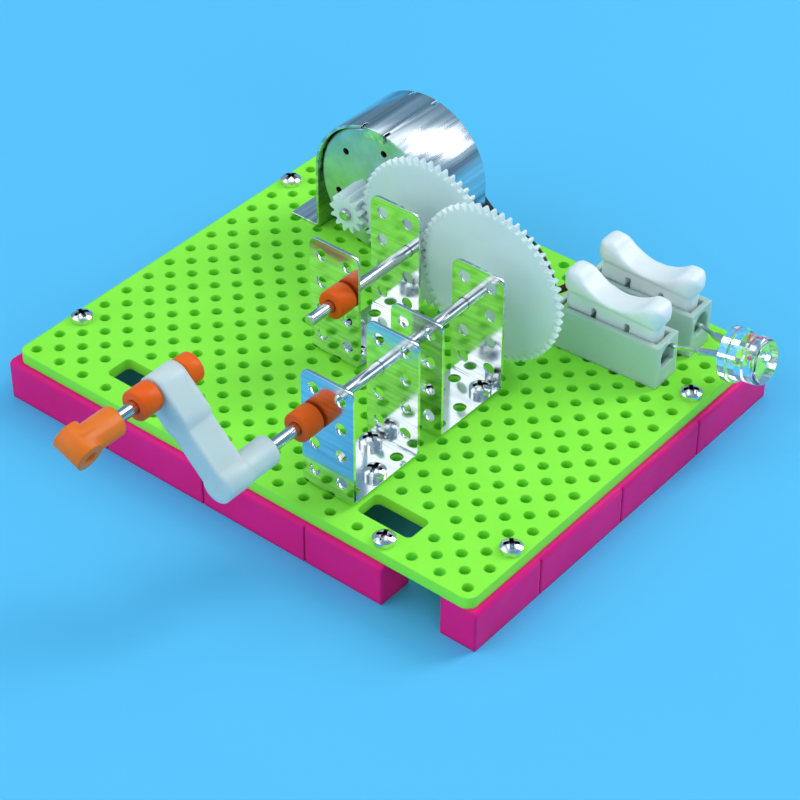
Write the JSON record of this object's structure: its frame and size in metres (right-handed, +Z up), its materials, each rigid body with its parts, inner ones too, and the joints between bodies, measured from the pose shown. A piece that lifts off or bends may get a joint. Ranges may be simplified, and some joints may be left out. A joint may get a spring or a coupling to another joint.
{
  "type": "hand crank generator",
  "caption": "Demonstration generator: a hand crank turns a step-up gear train and a small motor on a perforated board, and its wires light a lamp at a push connector.",
  "frame": {"origin": "on the table under the middle of the whole object", "axes": "+Z up, +Y from the crank handle towards the motor, +X towards the lamp"},
  "size_m": [0.104, 0.1138, 0.0391],
  "materials": {
    "board": "moulded, smooth",
    "rail": "moulded, smooth",
    "screw": "nickel plated",
    "plated_sheet": "bright plated sheet",
    "zinc_sheet": "zinc plated sheet with streaks",
    "can": "plated, drawn",
    "end_cap": "moulded",
    "magnet": "sintered",
    "bronze": "sintered",
    "brush": "sprung strip",
    "terminal": "stamped",
    "connector": "moulded, satin",
    "lens": "clear cast",
    "lead": "tinned",
    "black_cover": "soft cover",
    "red_cover": "soft cover",
    "shaft": "ground",
    "crank": "frosted",
    "collar": "moulded",
    "gear": "frosted",
    "knob": "moulded",
    "core": "stamped sheets",
    "copper": "enamelled wire"
  },
  "bodies": {
    "base": {"base_board": "board", "front_rail": "rail", "right_rail": "rail", "left_rail": "rail", "board_screws": "screw", "bracket_screws": "screw", "strap_screws": "screw", "connector_screw": "screw", "front_bracket": "plated_sheet", "rear_bracket": "plated_sheet", "layshaft_bracket": "plated_sheet", "motor_strap": "zinc_sheet", "motor_can": "can", "motor_end_cap": "end_cap", "motor_magnets": "magnet", "front_bush": "bronze", "rear_bush": "bronze", "motor_brushes": "brush", "motor_terminals": "terminal", "connector_housing": "connector", "contact_clips": "terminal", "lamp_lens": "lens", "lamp_leads": "lead", "black_wire": "black_cover", "red_wire": "red_cover"},
    "crank": {"crank_shaft": "shaft", "crank_arm": "crank", "crank_collar": "collar", "drive_gear": "gear"},
    "handle": {"handle_pin": "shaft", "handle_collars": "collar", "handle_knob": "knob"},
    "layshaft": {"layshaft": "shaft", "layshaft_collar": "collar", "layshaft_gear": "gear"},
    "rotor": {"motor_shaft": "shaft", "motor_pinion": "gear", "armature_core": "core", "armature_windings": "copper", "commutator": "copper"},
    "front_lever": {"front_lever": "connector"},
    "rear_lever": {"rear_lever": "connector"}
  },
  "joints": [
    {"name": "crank_spin", "type": "hinge", "parent": "base", "child": "crank", "pos_m": [0.00994, -0.00006, 0.02417], "axis": [0, 1, 0], "continuous": true},
    {"name": "handle_spin", "type": "hinge", "parent": "crank", "child": "handle", "pos_m": [-0.0018, -0.03646, 0.03591], "axis": [0, 1, 0], "continuous": true},
    {"name": "layshaft_spin", "type": "hinge", "parent": "base", "child": "layshaft", "pos_m": [-0.00606, 0.01694, 0.02417], "axis": [0, 1, 0], "continuous": true},
    {"name": "rotor_spin", "type": "hinge", "parent": "base", "child": "rotor", "pos_m": [-0.02291, 0.03994, 0.02192], "axis": [0, 1, 0], "continuous": true},
    {"name": "front_lever_rock", "type": "hinge", "parent": "base", "child": "front_lever", "pos_m": [0.02621, 0.0387, 0.0162], "axis": [-0.0523, 0.9986, 0], "range_deg": [-9, 3], "stiffness_Nm_per_rad": 0.02},
    {"name": "rear_lever_rock", "type": "hinge", "parent": "base", "child": "rear_lever", "pos_m": [0.02567, 0.04918, 0.0162], "axis": [-0.0523, 0.9986, 0], "range_deg": [-9, 3], "stiffness_Nm_per_rad": 0.02}
  ],
  "couplings": [
    {"joint": "layshaft_spin", "follows": "crank_spin", "ratio": -7},
    {"joint": "rotor_spin", "follows": "crank_spin", "ratio": 32.667}
  ]
}
